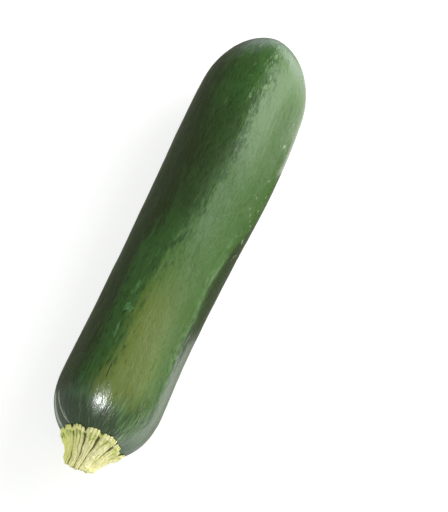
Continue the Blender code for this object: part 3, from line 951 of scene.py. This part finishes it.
def stem_material():
    """Dry fibrous stem: cream crests, yellow-green sides and dark olive grooves."""
    made, tree, shader = new_material("zucchini_stem")
    grain = attribute(tree, "grain", vector=True)
    crest = attribute(tree, "crest")
    way = attribute(tree, "way")
    blotches = around_and_along(grain, *BLOTCHES).noise(3.0, 0.6)
    fibres = around_and_along(grain, *FIBRES).noise(3.0, 0.6)
    specks = around_and_along(grain, *SPECKS).noise(2.0, 0.6)
    x, _, _ = grain.parts()
    height = crest + fibres.swing(0.70) + specks.swing(0.50)
    below_border = way.band(0.03, 0.08, 0.12, 0.42)
    height = height - below_border * (blotches.swing(0.9) + 0.32)
    height = height - way.smooth(0.92, 0.99) * blotches.smooth(0.36, 0.60) * 0.42
    pale = mixed((x * (1 / MM) + blotches.swing(6.0)).smooth(0.0, 5.5), CREAM, STRAW)
    shade = mixed(way.smooth(0.45, 0.15), BROWN, LEAF_GREEN)
    colour = mixed(height.smooth(0.00, 0.24), GROOVE, shade)
    colour = mixed(height.smooth(0.18, 0.46), colour, YELLOW_GREEN)
    creamy = height.smooth(0.40, 0.72) * (blotches + way.smooth(0.05, 0.4) * 0.3).smooth(0.28, 0.56)
    colour = mixed(creamy, colour, pale)
    cut = way.smooth(1.02, 1.12)
    face = mixed(height.smooth(0.25, 0.8), GROOVE, CUT_TAN)
    colour = mixed(cut, colour, face)
    connect(colour, shader.inputs["Base Color"])
    roughness = specks * 0.2 + 0.48
    connect(roughness, shader.inputs["Roughness"])
    shader.inputs["IOR"].default_value = 1.42
    under = bumped(fibres, FIBRE_BUMP)
    bump = bumped(specks, SPECK_BUMP, under)
    connect(bump, shader.inputs["Normal"])
    return made


# The studio
FLOOR_SIZE = 6.0
FLOOR_COLOUR = (0.45, 0.45, 0.45)
FLOOR_GLOW = 0.72
KEY_DIRECTION, KEY_DISTANCE = (0.60, -0.66, 0.50), 1.1
KEY_SIZE, KEY_POWER = (0.8, 1.0), 12.0
SHEEN_DIRECTION, SHEEN_SIZE, SHEEN_POWER = (0.70, -0.58, 0.42), (0.9, 0.9), 4.2
SPARK_AZIMUTH, SPARK_ELEVATION = math.radians(168), math.radians(66)
SPARK_DISTANCE, SPARK_SIZE, SPARK_POWER = 1.3, (0.31, 0.40), 28.0
HALO_SIZE, HALO_POWER = (0.9, 1.6), 3.4
# Pale sheets low over the floor, seen only as reflections: name, edges along X and along Y, brightness
SHEETS = (
    ("stem_sheet", (-0.90, -0.022), (-0.90, -0.045), 2.8),
    ("near_sheet", (-0.90, -0.023), (-0.045, -0.030), 0.8),
    ("edge_sheet", (-0.90, -0.026), (-0.030, -0.016), 0.30),
    ("side_sheet", (-0.022, 0.012), (-0.30, -0.12), 1.6),
    ("tip_sheet", (0.080, 0.60), (-0.60, -0.045), 1.4),
    ("tip_edge_sheet", (0.056, 0.60), (-0.045, -0.016), 1.0),
)
SHEET_HEIGHT = 0.0005
WORLD_RIGHT = (0.74, 0.75, 0.72)
WORLD_RIGHT_HIGH = (0.50, 0.53, 0.49)
WORLD_RIGHT_LOW = (0.33, 0.39, 0.31)
WORLD_LEFT = (0.20, 0.20, 0.15)
WORLD_LEFT_NEAR = (0.56, 0.61, 0.61)
WORLD_LOW = (0.22, 0.22, 0.18)
WORLD_FAR = (1.10, 1.18, 1.24)
# How the bright right side gives way beyond the fruit's tip and towards its stem
RIGHT_TURN_START, RIGHT_TURN_MOST, RIGHT_TURN, RIGHT_LEAN = 0.35, 0.15, 4.0, -0.8
BACKDROP = (0.90, 0.90, 0.90)


def add_floor():
    """A plain pale floor."""
    bpy.ops.mesh.primitive_plane_add(size=FLOOR_SIZE)
    floor = bpy.context.object
    floor.name = "floor"
    made, _, shader = new_material("floor")
    set_inputs(shader, {"Base Color": (*FLOOR_COLOUR, 1.0), "Roughness": 0.9})
    set_inputs(shader, {"Emission Color": (1.0, 1.0, 1.0, 1.0), "Emission Strength": FLOOR_GLOW})
    floor.data.materials.append(made)
    floor.visible_glossy = False


def direction(azimuth, elevation):
    """The way this far round from +X and this high above the floor."""
    flat = math.cos(elevation)
    return Vector((flat * math.cos(azimuth), flat * math.sin(azimuth), math.sin(elevation)))


def facing(back):
    """The turn of a light whose back points this way and whose width lies along the fruit."""
    back = back.normalized()
    up = back.cross(Vector((1, 0, 0))).normalized()
    return Matrix((up.cross(back), up, back)).transposed().to_4x4()


def add_area_light(name, place, back, size, power, diffuse=True, glossy=True, shape="RECTANGLE"):
    """A soft light whose back points this way."""
    light = bpy.data.lights.new(name, "AREA")
    light.shape = shape
    light.size, light.size_y = size
    light.energy = power
    lamp = bpy.data.objects.new(name, light)
    lamp.matrix_world = Matrix.Translation(place) @ facing(back)
    lamp.visible_camera = False
    lamp.visible_diffuse = diffuse
    lamp.visible_glossy = glossy
    bpy.context.scene.collection.objects.link(lamp)


def add_lights():
    """A large soft light on the right and its sheen, a highlight with its halo, and pale sheets low down."""
    key = Vector(KEY_DIRECTION).normalized()
    add_area_light("key", key * KEY_DISTANCE, key, KEY_SIZE, KEY_POWER, glossy=False)
    sheen = Vector(SHEEN_DIRECTION).normalized()
    add_area_light("sheen", sheen * KEY_DISTANCE, sheen, SHEEN_SIZE, SHEEN_POWER, diffuse=False)
    spark = direction(SPARK_AZIMUTH, SPARK_ELEVATION)
    place = spark * SPARK_DISTANCE
    add_area_light("spark", place, spark, SPARK_SIZE, SPARK_POWER, diffuse=False, shape="ELLIPSE")
    add_area_light("halo", place, spark, HALO_SIZE, HALO_POWER, diffuse=False, shape="ELLIPSE")
    for name, along, across, brightness in SHEETS:
        place = Vector((sum(along) / 2, sum(across) / 2, SHEET_HEIGHT))
        size = along[1] - along[0], across[1] - across[0]
        power = brightness * math.pi * size[0] * size[1]
        add_area_light(name, place, Vector((0, 0, -1)), size, power, diffuse=False)


def add_world():
    """Soft light from all round, brighter on the fruit's right side, over a plain backdrop."""
    world = bpy.data.worlds.new("studio")
    world.use_nodes = True
    tree = world.node_tree
    source = tree.nodes.new("ShaderNodeTexCoord")
    x, y, z = Value(tree, source.outputs["Generated"]).parts()
    past_tip = (x - RIGHT_TURN_START).math("MAXIMUM", 0.0).math("MINIMUM", RIGHT_TURN_MOST)
    turned_away = past_tip * RIGHT_TURN + (x * RIGHT_LEAN).math("MAXIMUM", 0.0)
    right = (y + turned_away).smooth(0.32, 0.06) * z.smooth(-0.20, 0.0)
    colour = mixed(z.smooth(0.05, -0.15), WORLD_LEFT, WORLD_LOW)
    colour = mixed(x.smooth(0.22, -0.10), colour, WORLD_LEFT_NEAR)
    bright = mixed(z.smooth(0.62, 0.92), WORLD_RIGHT, WORLD_RIGHT_HIGH)
    bright = mixed(z.smooth(0.36, 0.10) * x.smooth(0.52, 0.40), bright, WORLD_RIGHT_LOW)
    colour = mixed(right, colour, bright)
    colour = mixed(x.smooth(0.72, 0.84) * z.smooth(-0.02, -0.22), colour, WORLD_FAR)
    ray = tree.nodes.new("ShaderNodeLightPath")
    colour = mixed(Value(tree, ray.outputs["Is Camera Ray"]), colour, BACKDROP)
    connect(colour, tree.nodes["Background"].inputs["Color"])
    bpy.context.scene.world = world


def add_camera(shift):
    """The camera at the photograph's viewing angle, aimed so that the fruit's middle lies at its pixel."""
    back = direction(CAMERA_AZIMUTH, CAMERA_ELEVATION)
    right = Vector((-math.sin(CAMERA_AZIMUTH), math.cos(CAMERA_AZIMUTH), 0.0))
    up = back.cross(right)
    middle = Vector((shift[0], shift[1], MIDDLE_HEIGHT))
    eye = middle + back * CAMERA_DISTANCE
    pixel = CAMERA_DISTANCE / FOCAL_PIXELS
    aside = (PICTURE_WIDTH / 2 - MIDDLE_PIXEL[0]) * pixel
    below = (PICTURE_HEIGHT / 2 - MIDDLE_PIXEL[1]) * pixel
    back = (eye - (middle + right * aside - up * below)).normalized()
    right = up.cross(back).normalized()
    up = back.cross(right)
    data = bpy.data.cameras.new("camera")
    data.sensor_width = SENSOR
    data.lens = SENSOR * FOCAL_PIXELS / PICTURE_HEIGHT
    camera = bpy.data.objects.new("camera", data)
    camera.matrix_world = Matrix.Translation(eye) @ Matrix((right, up, back)).transposed().to_4x4()
    bpy.context.scene.collection.objects.link(camera)
    bpy.context.scene.camera = camera


def main():
    bpy.context.scene.view_settings.view_transform = "Standard"
    shift = add_skin(skin_material())
    add_stem(stem_material(), shift)
    add_floor()
    add_lights()
    add_world()
    add_camera(shift)
    bpy.context.view_layer.update()


main()
